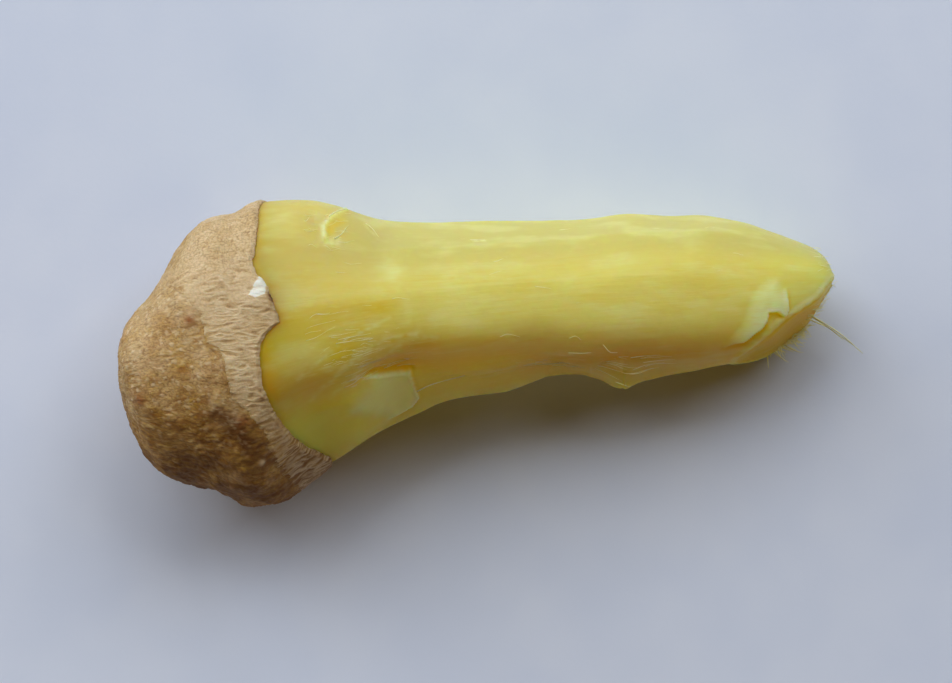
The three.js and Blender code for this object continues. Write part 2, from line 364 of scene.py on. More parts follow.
def closed_grid(name, rows, material, floats, vectors):
    """A closed surface from rows of points round the root: each end is shut by a fan of faces."""
    count, columns = rows.shape[:2]
    row, k = np.indices((count - 1, columns))
    here, above, after = row * columns, (row + 1) * columns, (k + 1) % columns
    faces = np.stack([here + k, above + k, above + after, here + after], -1).reshape(-1, 4).tolist()
    low, high, left, right = row / (count - 1), (row + 1) / (count - 1), k / columns, (k + 1) / columns
    uv = np.stack([left, low, left, high, right, high, right, low], -1).reshape(-1, 2)
    first, last = count * columns, count * columns + 1
    points = np.concatenate([rows.reshape(-1, 3), rows[:1].mean(1), rows[-1:].mean(1)])
    base = (count - 1) * columns
    pairs = [(a, (a + 1) % columns) for a in range(columns)]
    faces += [(first, a, b) for a, b in pairs]
    faces += [(last, base + b, base + a) for a, b in pairs]
    fan_uv = [((a + 0.5) / columns, v) for v in (0, 1) for a in range(columns) for _ in range(3)]
    uv = np.concatenate([uv, np.array(fan_uv)])

    def with_ends(values):
        flat = values.reshape(count * columns, -1)
        return np.concatenate([flat, flat[:1], flat[-1:]])

    floats = {key: with_ends(values) for key, values in floats.items()}
    vectors = {key: with_ends(values) for key, values in vectors.items()}
    return new_piece(name, points, faces, material, vectors, floats, uv)


# ---- Materials ----
def linear(r, g, b):
    """An sRGB colour of 0 to 255 as the linear one that a shader takes."""
    c = np.array([r, g, b]) / 255
    return (*np.where(c <= 0.04045, c / 12.92, ((c + 0.055) / 1.055) ** 2.4), 1.0)


class Nodes:
    """Short names for the nodes that the materials here share."""

    def __init__(self, name):
        self.material = bpy.data.materials.new(name)
        self.material.use_nodes = True
        self.tree = self.material.node_tree
        self.shader = self.tree.nodes["Principled BSDF"]

    def add(self, kind, **sockets):
        node = self.tree.nodes.new("ShaderNode" + kind)
        for key, value in sockets.items():
            self.set(node.inputs[key.replace("_", " ")], value)
        return node

    def set(self, socket, value):
        if isinstance(value, bpy.types.NodeSocket):
            self.tree.links.new(value, socket)
        else:
            socket.default_value = value

    def attribute(self, name, output="Fac"):
        node = self.tree.nodes.new("ShaderNodeAttribute")
        node.attribute_name = name
        return node.outputs[output]

    def scaled(self, vector, scale):
        return self.add("Mapping", Vector=vector, Scale=scale).outputs["Vector"]

    def noise(self, vector, scale, detail=3.0, roughness=0.55, distortion=0.0):
        values = dict(Vector=vector, Scale=scale, Detail=detail, Roughness=roughness, Distortion=distortion)
        return self.add("TexNoise", **values).outputs["Fac"]

    def math(self, operation, a, b, clamp=False):
        node = self.tree.nodes.new("ShaderNodeMath")
        node.operation = operation
        node.use_clamp = clamp
        self.set(node.inputs[0], a)
        self.set(node.inputs[1], b)
        return node.outputs[0]

    def ramp(self, value, low, high, out_low=0.0, out_high=1.0):
        node = self.tree.nodes.new("ShaderNodeMapRange")
        node.interpolation_type = "SMOOTHSTEP"
        numbers = (value, low, high, out_low, out_high)
        for key, number in zip(("Value", "From Min", "From Max", "To Min", "To Max"), numbers):
            self.set(node.inputs[key], number)
        return node.outputs["Result"]

    def mix(self, share, a, b):
        node = self.tree.nodes.new("ShaderNodeMix")
        node.data_type = "RGBA"
        self.set(node.inputs["Factor"], share)
        self.set([s for s in node.inputs if s.name == "A" and s.type == "RGBA"][0], a)
        self.set([s for s in node.inputs if s.name == "B" and s.type == "RGBA"][0], b)
        return [s for s in node.outputs if s.type == "RGBA"][0]

    def bump(self, height, strength, distance, normal=None):
        node = self.add("Bump", Height=height, Strength=strength, Distance=distance)
        if normal is not None:
            self.set(node.inputs["Normal"], normal)
        return node.outputs["Normal"]

    def finish(self, **sockets):
        for key, value in sockets.items():
            self.set(self.shader.inputs[key.replace("_", " ")], value)
        return self.material


# Colours, linear.
FLESH_COLOURS = {
    "clear": (0.84, 0.755, 0.215, 1),
    "warm": (0.83, 0.725, 0.175, 1),
    "pale streak": (0.89, 0.79, 0.27, 1),
    "deep streak": (0.82, 0.67, 0.1, 1),
    "pale fibre": (0.88, 0.8, 0.33, 1),
    "speckle": (0.8, 0.65, 0.09, 1),
    # far: painted shade, a duller, darker colour for the far side, which faces the window, to tone down its
    # light
    "far": (0.67, 0.6, 0.2, 1),
    # deep: darker, more orange flesh toward the skin; in the narrow band right at the cut edge it is partly
    # painted shade under the skin's step
    "deep": (0.76, 0.42, 0.035, 1),
    # ochre: deeper ochre flesh, also used as painted shade in hollows, under loose rims and over the shaded
    # near side
    "ochre_and_shade": (0.8, 0.59, 0.018, 1),
    "pale": (0.9, 0.9, 0.42, 1),
    # near: painted light, a brighter yellow for the near side, which lies in shade, standing for light that
    # comes through the flesh
    "near": (0.98, 0.86, 0.1, 1),
    # sheet: the loose flap on the near side, pale as a thin flake, and brighter still as painted light, since
    # it lies in shade
    "sheet": (0.94, 0.98, 0.32, 1),
}
SKIN_COLOURS = {
    "young": (0.69, 0.485, 0.25, 1),
    "young, darker": (0.61, 0.41, 0.18, 1),
    "young mottle": (0.5, 0.29, 0.09, 1),
    "old": (0.54, 0.315, 0.062, 1),
    "old, darker": (0.37, 0.165, 0.022, 1),
    "old, pale streak": (0.66, 0.46, 0.19, 1),
    "old, dark streak": (0.28, 0.12, 0.02, 1),
    # dark: dark specks, lines and patches, and also painted shade on the near, lower side
    "dark": (0.17, 0.065, 0.013, 1),
    "red": (0.36, 0.13, 0.03, 1),
    # groove: painted shade, a darker colour in the grooves of the wrinkles and in the cracks
    "groove_shade": (0.26, 0.13, 0.045, 1),
    # crest: pale crests, partly the dry skin's own colour, partly a painted highlight; it also marks the
    # whitish tear and speck
    "crest_and_highlight": (0.87, 0.71, 0.44, 1),
    "grit": (0.3, 0.16, 0.06, 1),
    "whitish": (0.9, 0.84, 0.68, 1),
}
FIBRE_COLOURS = (0.97, 0.93, 0.55, 1), (0.95, 0.88, 0.4, 1)
PAPER_COLOURS = linear(226, 230, 238), linear(231, 234, 240)


def flesh_material():
    """Moist yellow flesh that light soaks into.

    Attributes: grain, pale (dry or scraped, with painted highlights along some rims), deep (darker flesh by
    the skin, with painted shade right at its edge), ochre (deeper ochre flesh, and painted shade in hollows,
    under loose rims and over the near side), far (painted shade: a darker colour on the far side, which faces
    the light), near (painted light: a brighter colour on the near side, which lies in shade), sheet (the flap
    on the near side, pale, and brighter still as painted light).
    """
    n = Nodes("ginger_flesh")
    tone = FLESH_COLOURS
    grain = n.attribute("grain", "Vector")
    broad = n.noise(n.scaled(grain, (0.05, 0.16, 0.16)), 1.0, 2.0)
    streak = n.noise(n.scaled(grain, (0.1, 1.3, 1.3)), 1.0, 4.0, 0.6, 0.4)
    fine = n.noise(n.scaled(grain, (0.45, 4.2, 4.2)), 1.0, 3.0, 0.6, 0.3)
    speckle = n.noise(n.scaled(grain, (2.5, 3.5, 3.5)), 1.0, 2.0)
    colour = n.mix(n.ramp(broad, 0.35, 0.65), tone["clear"], tone["warm"])
    for value, low, high, most, name in (
        (streak, 0.5, 0.72, 0.4, "pale streak"),
        (streak, 0.48, 0.3, 0.4, "deep streak"),
        (fine, 0.52, 0.75, 0.3, "pale fibre"),
        (speckle, 0.62, 0.8, 0.2, "speckle"),
    ):
        colour = n.mix(n.ramp(value, low, high, 0.0, most), colour, tone[name])
    # far is painted shade; deep and ochre are partly painted shade
    for mark in ("far", "deep", "ochre_and_shade"):
        colour = n.mix(n.attribute(mark), colour, tone[mark])
    pale = n.math("MULTIPLY", n.attribute("pale"), n.ramp(fine, 0.25, 0.65, 0.6, 1.0), clamp=True)
    colour = n.mix(pale, colour, tone["pale"])
    for mark in ("near", "sheet"):
        # near is painted light on the shaded near side; sheet is partly painted light on the flap there
        colour = n.mix(n.attribute(mark), colour, tone[mark])
    height = n.math("ADD", n.math("MULTIPLY", streak, 0.5), n.math("MULTIPLY", fine, 0.5))
    normal = n.bump(height, 0.25, 0.00015)
    normal = n.bump(speckle, 0.1, 0.00008, normal)
    n.shader.subsurface_method = "RANDOM_WALK"
    return n.finish(
        Base_Color=colour,
        Roughness=n.ramp(fine, 0.3, 0.7, 0.34, 0.5),
        IOR=1.45,
        Specular_IOR_Level=0.2,
        Subsurface_Weight=1.0,
        Subsurface_Radius=(1.0, 0.6, 0.1),
        Subsurface_Scale=n.ramp(n.attribute("deep"), 0.45, 1.0, 0.019, 0.006),
        Normal=normal,
    )


def skin_material():
    """Thin corky skin.

    Attributes: place, grain, old (brown) and dark (dark marks), both also painted shade on the near, lower
    side and where the skin faces down, red, crest (pale crests and marks, partly a painted highlight), groove
    (painted shade in the grooves and cracks).
    """
    n = Nodes("ginger_skin")
    tone = SKIN_COLOURS
    place, grain = n.attribute("place", "Vector"), n.attribute("grain", "Vector")
    blotch = n.noise(place, 0.22, 3.0, 0.6)
    mottle = n.noise(n.scaled(grain, (0.55, 1.1, 1.1)), 1.0, 5.0, 0.65, 0.5)
    streak = n.noise(n.scaled(grain, (0.7, 2.6, 2.6)), 1.0, 3.0, 0.6, 0.4)
    grit = n.noise(place, 4.2, 3.0, 0.65)
    young = n.mix(n.ramp(blotch, 0.35, 0.65), tone["young"], tone["young, darker"])
    young = n.mix(n.ramp(mottle, 0.52, 0.75, 0.0, 0.6), young, tone["young mottle"])
    old = n.mix(n.ramp(mottle, 0.36, 0.62), tone["old"], tone["old, darker"])
    old = n.mix(n.ramp(streak, 0.58, 0.75, 0.0, 0.6), old, tone["old, pale streak"])
    old = n.mix(n.ramp(streak, 0.42, 0.28, 0.0, 0.5), old, tone["old, dark streak"])
    # old and dark carry the skin's older brown and its dark marks, and also painted shade on the near, lower
    # side and where the skin faces down
    colour = n.mix(n.attribute("old"), young, old)
    dark = n.math("MULTIPLY", n.attribute("dark"), n.ramp(mottle, 0.25, 0.6, 0.55, 1.0), clamp=True)
    colour = n.mix(dark, colour, tone["dark"])
    red = n.math("MULTIPLY", n.attribute("red"), n.ramp(mottle, 0.3, 0.6, 0.5, 0.95), clamp=True)
    colour = n.mix(red, colour, tone["red"])
    # Painted shade in the grooves and cracks
    colour = n.mix(n.math("MULTIPLY", n.attribute("groove_shade"), 0.65), colour, tone["groove_shade"])
    crest_and_highlight = n.attribute("crest_and_highlight")
    # Paler crests: partly the skin's own colour, partly a painted highlight
    colour = n.mix(n.math("MULTIPLY", crest_and_highlight, 0.65, clamp=True), colour, tone["crest_and_highlight"])
    colour = n.mix(n.ramp(grit, 0.6, 0.78, 0.0, 0.4), colour, tone["grit"])
    colour = n.mix(n.ramp(crest_and_highlight, 1.1, 1.4), colour, tone["whitish"])
    height = n.math("ADD", n.math("MULTIPLY", grit, 0.6), n.math("MULTIPLY", streak, 0.4))
    n.shader.subsurface_method = "RANDOM_WALK"
    return n.finish(
        Base_Color=colour,
        Roughness=n.ramp(crest_and_highlight, 0.0, 0.8, 0.62, 0.42),
        IOR=1.45,
        Specular_IOR_Level=0.3,
        Subsurface_Weight=0.2,
        Subsurface_Radius=(1.0, 0.5, 0.2),
        Subsurface_Scale=0.0015,
        Normal=n.bump(height, 0.5, 0.00018),
    )


def fibre_material():
    """Pale dry fibres."""
    n = Nodes("ginger_fibre")
    tone = n.noise(n.attribute("place", "Vector"), 0.6, 2.0)
    colour = n.mix(n.ramp(tone, 0.35, 0.65), *FIBRE_COLOURS)
    return n.finish(
        Base_Color=colour,
        Roughness=n.ramp(tone, 0.3, 0.7, 0.4, 0.5),
        IOR=1.45,
        Subsurface_Weight=0.8,
        Subsurface_Radius=(1.0, 0.9, 0.7),
        Subsurface_Scale=0.0001,
    )


def paper_material():
    """Plain white paper, slightly cloudy."""
    n = Nodes("white_paper")
    place = n.add("NewGeometry").outputs["Position"]
    fibre = n.noise(place, 900.0, 3.0)
    cloud = n.noise(place, 45.0, 2.0)
    colour = n.mix(n.ramp(cloud, 0.3, 0.7), *PAPER_COLOURS)
    return n.finish(Base_Color=colour, Roughness=0.85, Normal=n.bump(fibre, 0.15, 0.0001))


FLESH = flesh_material()
SKIN = skin_material()
FIBRE = fibre_material()


# ---- The skin ----
# Where the pale young skin starts, s at each angle: behind it lies the brown skin of older growth.
YOUNG_SKIN = [
    (8, 18.5), (22, 16.5), (32, 14.6), (45, 13.4), (59, 15.3), (75, 17), (84, 17.2), (91, 18.9),
    (112, 18.4), (118, 19.9), (130, 20.8), (152, 20.9), (189, 21.8), (230, 19.5), (280, 16.5),
    (330, 18), (368, 18.5),
]
OLDER_RING = (4.0, 2.2)  # s of the leaf scar before that one, and how far it wanders


def on_ring(angle):
    """Points of a unit circle, so that noise read there closes round the root."""
    turn = np.radians(angle)
    return np.stack([np.cos(turn), np.sin(turn), 0 * turn], -1)


def skin_edge_fine(angle):
    """The cut edge with its small tears."""
    ring = on_ring(angle)
    return skin_end(angle) + 0.16 * layered(ring * 20, 3, 5) + 0.08 * noise(ring * 70, 9)


def young_edge(angle):
    """The ragged start of the young skin."""
    turns, places = zip(*YOUNG_SKIN)
    ring = on_ring(angle)
    ragged = 0.35 * layered(ring * 9, 3, 7) + 0.15 * noise(ring * 45, 8)
    return np.interp((angle - turns[0]) % 360 + turns[0], turns, places) + ragged


# Reddish scars and buds on the skin: place, size.
SCARS = [
    ((1.9, -7.7, 27.2), 1.3),
    ((20.7, -17.9, 35), 1),
    ((13.4, -3.3, 35.7), 0.7),
    ((6, -15, 33), 0.9),
    ((21, -31, 17), 1.6),
    ((2, -12, 14), 1.5),
]
# Small dark specks: place.
SPECKS = [
    (19.8, -18, 35.2), (21.4, -17.7, 35.1), (20.4, -20.5, 34.3), (8.6, -11.3, 34.6),
    (8, -12.5, 34.5), (19.3, 6.1, 33), (21.8, -31.4, 17.5),
]
WHITE_SPECK = (23.1, -24.1, 31.1)
# As seen from above: an outline, and two lines.
WHITISH_TEAR = [(23.5, 3.5), (22.6, 1.8), (21.9, 0.3), (22.9, -0.1), (24.4, 0.5), (24.4, 1.9)]
BROWN_PATCH = [(17.6, -16.6), (20, -19), (21.6, -21.6)]
BROWN_TEAR = [(25, 0.4), (26.2, -1.6), (26.9, -4)]
PATCH_BOTTOM = 18  # the brown patch keeps above this Z


def near_point(points, at, size):
    """A soft round mark of that size on points (..., 3)."""
    return bell(np.linalg.norm(points - at, axis=-1), size)


def brown_patch(points):
    """The dark patch over the start of the young skin on the near side."""
    away = away_from_line(points[..., :2], BROWN_PATCH) + 0.6 * layered(points / 1.6, 2, 19)
    return 0.75 * smooth(away, 2.0, 0.6) * (points[..., 2] > PATCH_BOTTOM)


def wrinkles(points, seed):
    """Sharp crests and round valleys of unit grain, about -1 to 1."""
    return 1 - 2.6 * np.abs(noise(points, seed)) - 0.9 * np.abs(noise(points * 2.1, seed + 1))


def skin_ground(s, turns):
    """What both skins start from: places on the form, normals, angles, warped fibre coordinates, wrinkles
    along them, fine cracks with a number for each patch between them, and broad lumps."""
    base = form.at(s, turns)
    angle = np.broadcast_to(turns, s.shape)
    grain = grain_of(s, angle - (0.6 + smooth(angle, 110, 150)) * (s - 22)) * [1, 1.5, 1.5]
    warp = 0.35 * np.stack([noise(base / 1.5, seed) for seed in (3, 4, 6)], -1)
    wrinkle = wrinkles(grain / [2.3, 0.72, 0.72] + warp, 11)
    crack, own = cells((base + warp) / 0.5, 12)
    lumps = 0.14 * layered(base / 6.5, 2, 51) + 0.09 * layered(base / 2.2, 2, 53)
    return base, normals_of(base), angle, grain, wrinkle, crack, own, lumps


TUCK = 0.3  # how far the skin's hidden edges turn back along the root
TUCK_DEPTH = 1.2  # and how deep they end
OVERLAP = 0.7  # of the old skin under the start of the young


def tucked(s, angle, back):
    """Two hidden rows that close a piece of skin under its edge at s, the one by the edge first."""
    row = form.at(s + back, angle, -TUCK_DEPTH)
    return [row, mix(row, middle(s + 2 * back), 0.5)]


def make_young_skin():
    columns, rows = int(930 * FINE), int(100 * FINE)
    turns = ring_angles(columns)[None]
    first, edge = young_edge(turns), skin_edge_fine(turns)
    s = first + (edge - first) * np.linspace(0, 1, rows)[:, None]
    base, normal, angle, grain, wrinkle, crack, own, lumps = skin_ground(s, turns)
    far = bell(turn_from(angle, 28), 30)
    crack_crest = smooth(crack, 0.0, 0.5)
    strength = 0.55 + 0.45 * smooth(noise(base / 3.0, 15), -0.4, 0.4)
    relief = mix(0.11 * wrinkle * strength, 0.07 * (crack_crest - 0.7) + 0.04 * (own - 0.5), 0.25 + 0.6 * far)
    height = SKIN_THICKNESS + relief + lumps
    rim = smooth(s - first, 0.0, 0.5)
    height -= 0.12 * (1 - rim)
    height = mix(0.4 * SKIN_THICKNESS, height, smooth(edge - s, 0.0, 0.6))
    outer = base + normal * height[..., None]
    before = tucked(first, turns, TUCK)[::-1] + [form.at(first, turns, 0.1)]
    after = [form.at(edge, turns, -0.02)] + tucked(edge, turns, -TUCK)
    points = np.concatenate(before + [outer] + after)

    # Pale crests of the wrinkles and crack patches: partly their own colour, partly a painted highlight
    crest_and_highlight = mix(smooth(wrinkle, -0.3, 0.8) * strength, 0.7 * crack_crest * own, 0.2 + 0.6 * far)
    xy = base[..., :2] + 0.12 * noise(base / 0.8, 18)[..., None]
    tear = smooth(depth_inside(xy, WHITISH_TEAR), -0.1, 0.2) * smooth(normal[..., 2], 0.5, 0.8)
    brown_line = bell(away_from_line(xy, BROWN_TEAR), 0.35) * smooth(s, 20, 22)
    # Toward the near side the skin is coloured older and browner, partly the brown skin there and partly
    # painted shade; where it faces down, and past 140 degrees, the browner and darker colour is painted shade
    near = smooth(angle, 108, 145) * smooth(angle, 250, 215)
    under = smooth(-normal[..., 2], -0.2, 0.6)
    old = 0.75 * near + 0.45 * bell(s - first, 0.8) + 0.2 * layered(base / 2.5, 2, 63) + 0.7 * under
    dark = 0.5 * near * smooth(angle, 140, 170) + 1.3 * brown_line + brown_patch(base)
    # Painted shade in the grooves of the wrinkles and in the cracks
    groove_shade = mix(smooth(wrinkle, -0.1, -0.9), 1 - smooth(crack, 0.0, 0.15), 0.3 + 0.6 * far) * (1 - tear)
    floats = {
        "old": np.clip(old, 0, 1),
        "dark": np.clip(dark, 0, 1),
        "crest_and_highlight": crest_and_highlight + 1.3 * tear,
        "groove_shade": groove_shade,
    }
    skin_piece("young_skin", points, len(before), len(after), base, grain, floats)


def make_old_skin():
    columns, rows = int(560 * FINE), int(172 * FINE)
    turns = ring_angles(columns)[None]
    edge = young_edge(turns) + OVERLAP
    s = START + END_GAP + (edge - START - END_GAP) * (np.linspace(0, 1, rows) ** 0.9)[:, None]
    base, normal, angle, grain, wrinkle, crack, own, lumps = skin_ground(s, turns)
    patch = smooth(noise(base / 2.6, 16), 0.0, 0.4)
    near = bell(turn_from(angle, 185), 60)
    left_end = smooth(s, 4, -4)
    knobs, knob_own = cells(base / 1.5, 13)
    relief = 0.055 * patch * wrinkle + 0.05 * (smooth(crack, 0.0, 0.5) - 0.7) + 0.05 * (own - 0.5)
    rough = 0.04 + 0.14 * np.maximum(near, left_end)
    relief += rough * (smooth(knobs, 0.0, 0.5) - 0.6 + 0.8 * (knob_own - 0.5))
    ring_at, wander = OLDER_RING
    ring = ring_at + wander * np.sin(np.radians(2 * angle + 40)) + 0.7 * noise(base / 2.4, 31) - s
    relief += 0.14 * smooth(ring, -0.15, 0.15) * bell(ring, 2.5)
    scars = np.clip(sum(near_point(base, at, size) for at, size in SCARS), 0, 1)
    pits = np.clip(sum(near_point(base, at, 0.25) for at in SPECKS), 0, 1)
    relief += 0.12 * scars - 0.15 * pits
    height = SKIN_THICKNESS + relief + lumps - 0.1 * smooth(edge - s, 0.5, 0.2)
    outer = base + normal * height[..., None]
    after = tucked(edge, turns, -TUCK)
    points = np.concatenate([outer] + after)

    cloud = layered(base / 4.5, 3, 61)
    # Painted shade: where the skin faces down and on the near, lower side it is coloured browner and darker
    under = smooth(-normal[..., 2], -0.1, 0.6)
    shade = smooth(angle, 92, 140) * smooth(angle, 260, 220)
    speck = np.clip(near_point(base, WHITE_SPECK, 0.5), 0, 1)
    old = 0.55 + 0.5 * cloud + 0.5 * shade - 0.4 * bell(turn_from(angle, 45), 26) + 0.5 * under
    dark = 0.65 * shade * smooth(cloud, -0.5, 0.4) + 0.35 * under + pits + 0.3 * smooth(ring, -0.2, 0.3)
    # Pale crests of the wrinkled patches and some crack patches: partly their own colour, partly a painted
    # highlight
    crest_and_highlight = 0.5 * patch * smooth(wrinkle, 0.2, 0.9) + 0.5 * smooth(own, 0.75, 1.0)
    floats = {
        "old": np.clip(old, 0, 1),
        "dark": np.clip(dark + brown_patch(base), 0, 1),
        "red": scars,
        # Fewer pale crests and highlights in shade: painted shade
        "crest_and_highlight": (1 - 0.65 * shade) * crest_and_highlight + speck,
        "groove_shade": mix(1 - smooth(crack, 0.0, 0.15), smooth(wrinkle, -0.2, -0.9), 0.6 * patch),
    }
    skin_piece("old_skin", points, 0, len(after), base, grain, floats)


def skin_piece(name, points, before, after, base, grain, floats):
    """A closed piece whose attributes are those of its outer rows, carried on over the hidden rows."""

    def carried(values):
        return np.concatenate([values[:1]] * before + [values] + [values[-1:]] * after)

    floats = {key: carried(values) for key, values in floats.items()}
    vectors = {"place": carried(base), "grain": carried(grain)}
    closed_grid(name, points, SKIN, floats, vectors)


# ---- The flesh ----
# Strokes of the knife round the sides that were peeled: angle, drift of the angle over 10 mm, half-width in
# degrees, first and last s, depth.
KNIFE_FLATS = [
    (28, -1, 15, 40, 96, 0.4),
    (58, 0.6, 14, 34, 84, 0.18),
    (350, 1, 17, 36, 100, 0.5),
    (318, -1.5, 16, 30, 92, 0.5),
    (282, 1.2, 18, 42, 84, 0.4),
    (246, -1, 17, 34, 96, 0.5),
    (212, 1, 15, 44, 90, 0.45),
    (128, 2, 14, 27, 46, 0.35),
    (60, -3, 18, 27, 42, 0.3),
]
NICK = (33.9, 25)  # s and angle of the torn nick on the far side of the neck
NICK_SIZE = (1.5, 1.7)  # along and round the root
NECK_RADIUS = 14  # of the root there
# The two flats of the cut tip: a point on each, the way it faces, how ochre it is. The flat that faces the
# near side, away from the light, is the more ochre, partly as painted shade.
TIP_CUTS = [
    ((110.3, 1.5, 15.5), (0.8, -0.56, 0.2), 0.3),
    ((106.5, -4.8, 10), (0.58, -0.76, 0.3), 0.8),
]

# Lines on the flesh, drawn as seen from above: points, half-width, strength.
NICK_RIM = [(32.4, 8.8), (32.1, 10.9), (32.9, 12.2), (35, 13.5)]
SLIT = [(37.9, -12), (39.9, -10.9), (42.9, -10.5), (45.3, -10.6)]
SCRAPES = [
    ([(42.4, 6), (43.1, 2.7), (44, 0), (44.9, -2.5), (45.7, -5)], 1.2, 0.4),
    ([(43.6, 5), (43.2, 1.5), (44.3, -1)], 0.5, 0.35),
]
PALE_LINES = [
    ([(32.8, 8.3), (34.3, 8.3)], 0.6, 0.5),
    ([(38.3, 11.5), (40.3, 9.5)], 0.25, 0.3),
    ([(33.3, -15.1), (37.8, -10.9), (43.7, -6.9)], 0.35, 0.5),
    ([(28.8, -12.1), (34.8, -6.9), (42.2, -2.9)], 0.3, 0.4),
    ([(30.5, -15.4), (35.9, -9.8), (42.5, -5.6)], 0.3, 0.45),
    ([(36.2, -10), (41.5, -6), (46.5, -5.2)], 0.4, 0.5),
    ([(33.5, -12.5), (36.8, -9.5), (38.8, -8.9)], 0.35, 0.5),
    ([(37.5, -8.2), (41, -7.2), (45, -6), (49, -5.6)], 0.35, 0.4),
    ([(54.1, 9), (56.4, 9)], 0.16, 0.8),
    ([(50, 3.1), (55, 3.3), (60, 3)], 0.3, 0.2),
    ([(34.4, -18.6), (36.9, -16.3), (38.4, -15.6), (41.9, -15.3)], 0.35, 0.8),
]
# Deeper ochre stretches, most of them on the near side. The slit, the band along the trough of the near side
# and the two short lines under the loose rim of the tip's flap are painted shade; the others are deeper ochre
# flesh.
OCHRE_AND_SHADE_LINES = [
    (SLIT, 0.5, 0.9),
    ([(44.5, -10.4), (55.6, -8.9), (67.8, -9.1), (79.9, -8.9), (89, -8.2)], 1.4, 0.4),
    ([(93, -7.4), (95.8, -6.8), (98, -5.4), (99.6, -4)], 0.45, 0.55),
    ([(99.9, -2.6), (101.3, -2.5), (102.8, -2.9)], 0.4, 0.45),
    ([(34.6, -8.5), (37, -5.2), (39.2, -2.4), (41.4, -1.3)], 2, 0.6),
    ([(24.5, -8), (28.5, -4.6), (34, -4.4)], 2.8, 0.4),
    ([(41.5, -5.4), (50, -5.8), (59, -6)], 2, 0.35),
    ([(33.2, 10), (33.4, 11), (34.8, 11.7)], 0.6, 0.6),
]

# How far the flesh is drawn in along its near outline: X, depth.
NEAR_TRIM = [
    (60, 0), (66.3, 1.1), (70, 0.4), (73, 0.1), (76, 0.9), (77.8, 1.8),
    (79.5, 1.4), (83, 0.9), (90, 0.7), (95.5, 1), (99, 0.7), (103, 0),
]

# The ridge between the upper and the near side, as seen from above.
RIDGE = [(45.6, -8.2), (49.6, -6.5), (58.6, -6.9), (67.6, -6.8), (73.6, -6.6), (88.7, -6), (100.7, -6.2)]
# The flaps, as seen from above: where each is still rooted, its loose rim, its height.
FLAPS = [
    (
        [(40.5, -19), (35.5, -18.4), (34.8, -16.6), (36.2, -14.2), (37.4, -12.6)],
        [(39.3, -11.6), (42, -11.2), (45, -10.9), (45.5, -12.8), (46.1, -14.9), (45.3, -16.1), (43.1, -17.4)],
        0.4,
    ),
    (
        [(92.6, -7), (95.2, -3.6), (95.8, -0.6), (97.3, 2), (99.6, 4), (101.6, 4.4), (102.9, 2.6)],
        [(103, 1.2), (103.2, -1.4), (102.6, -2.5), (101.3, -1.9), (100, -1.9), (99.7, -3.1), (98.8, -4.3),
         (97.4, -5.1), (95.9, -6.3), (94.9, -6.3), (93.4, -7.1)],
        0.5,
    ),
]


def flap_relief(xy):
    """The flaps' height, how much of a place is loose flap, and how much is the gap under a loose rim, whose
    shadow is painted dark.
    """
    height, sheet, rim_gap_shadow = (np.zeros(xy.shape[:-1]) for _ in range(3))
    places = np.dstack([xy / 0.9, 0 * xy[..., :1]])
    wavy = xy + 0.12 * np.stack([noise(places, seed) for seed in (111, 112)], -1)
    for rooted, rim, rise in FLAPS:
        depth = depth_inside(wavy, rooted + rim)
        freedom = smooth(away_from_line(wavy, rooted), 0.0, 3.0)
        inside = smooth(depth, -0.1, 0.12)
        height += rise * inside * freedom + 0.12 * inside * freedom * bell(depth - 0.2, 0.3)
        # Paler along the loose rim: partly the thin flake's own paleness, partly a painted highlight where
        # the rim catches the light
        sheet = np.maximum(sheet, inside * freedom * (1 + 0.35 * bell(depth - 0.15, 0.25)))
        # The gap under each loose rim: a narrow groove, and a painted shadow in the flesh's colours
        rim_gap_shadow = np.maximum(rim_gap_shadow, (1 - inside) * freedom * bell(away_from_line(wavy, rim), 0.45))
    return height, sheet, rim_gap_shadow


def near_lines(xy, lines):
    """How strongly points (..., 2) are marked by lines, 0 to 1."""
    mark = np.zeros(xy.shape[:-1])
    for points, width, strength in lines:
        mark = np.maximum(mark, strength * bell(away_from_line(xy, points), width))
    return mark


def knife_flats(s, angle):
    """How deep the strokes of the knife go."""
    depth = 0 * s * angle
    for at, drift, half, first, last, deep in KNIFE_FLATS:
        share = turn_from(angle, at + drift * (s - first) / 10) / half
        depth += deep * np.clip(1 - share**2, 0, None) * between(s, first, last, 2.5)
    return depth


HIDDEN_ROWS = 16  # of the flesh's grid, on under the skin to the bulb's end
HIDDEN_DEPTH = 0.3  # of those rows
UNDER_SKIN = 1.3  # the flesh's own rows start this far under the skin


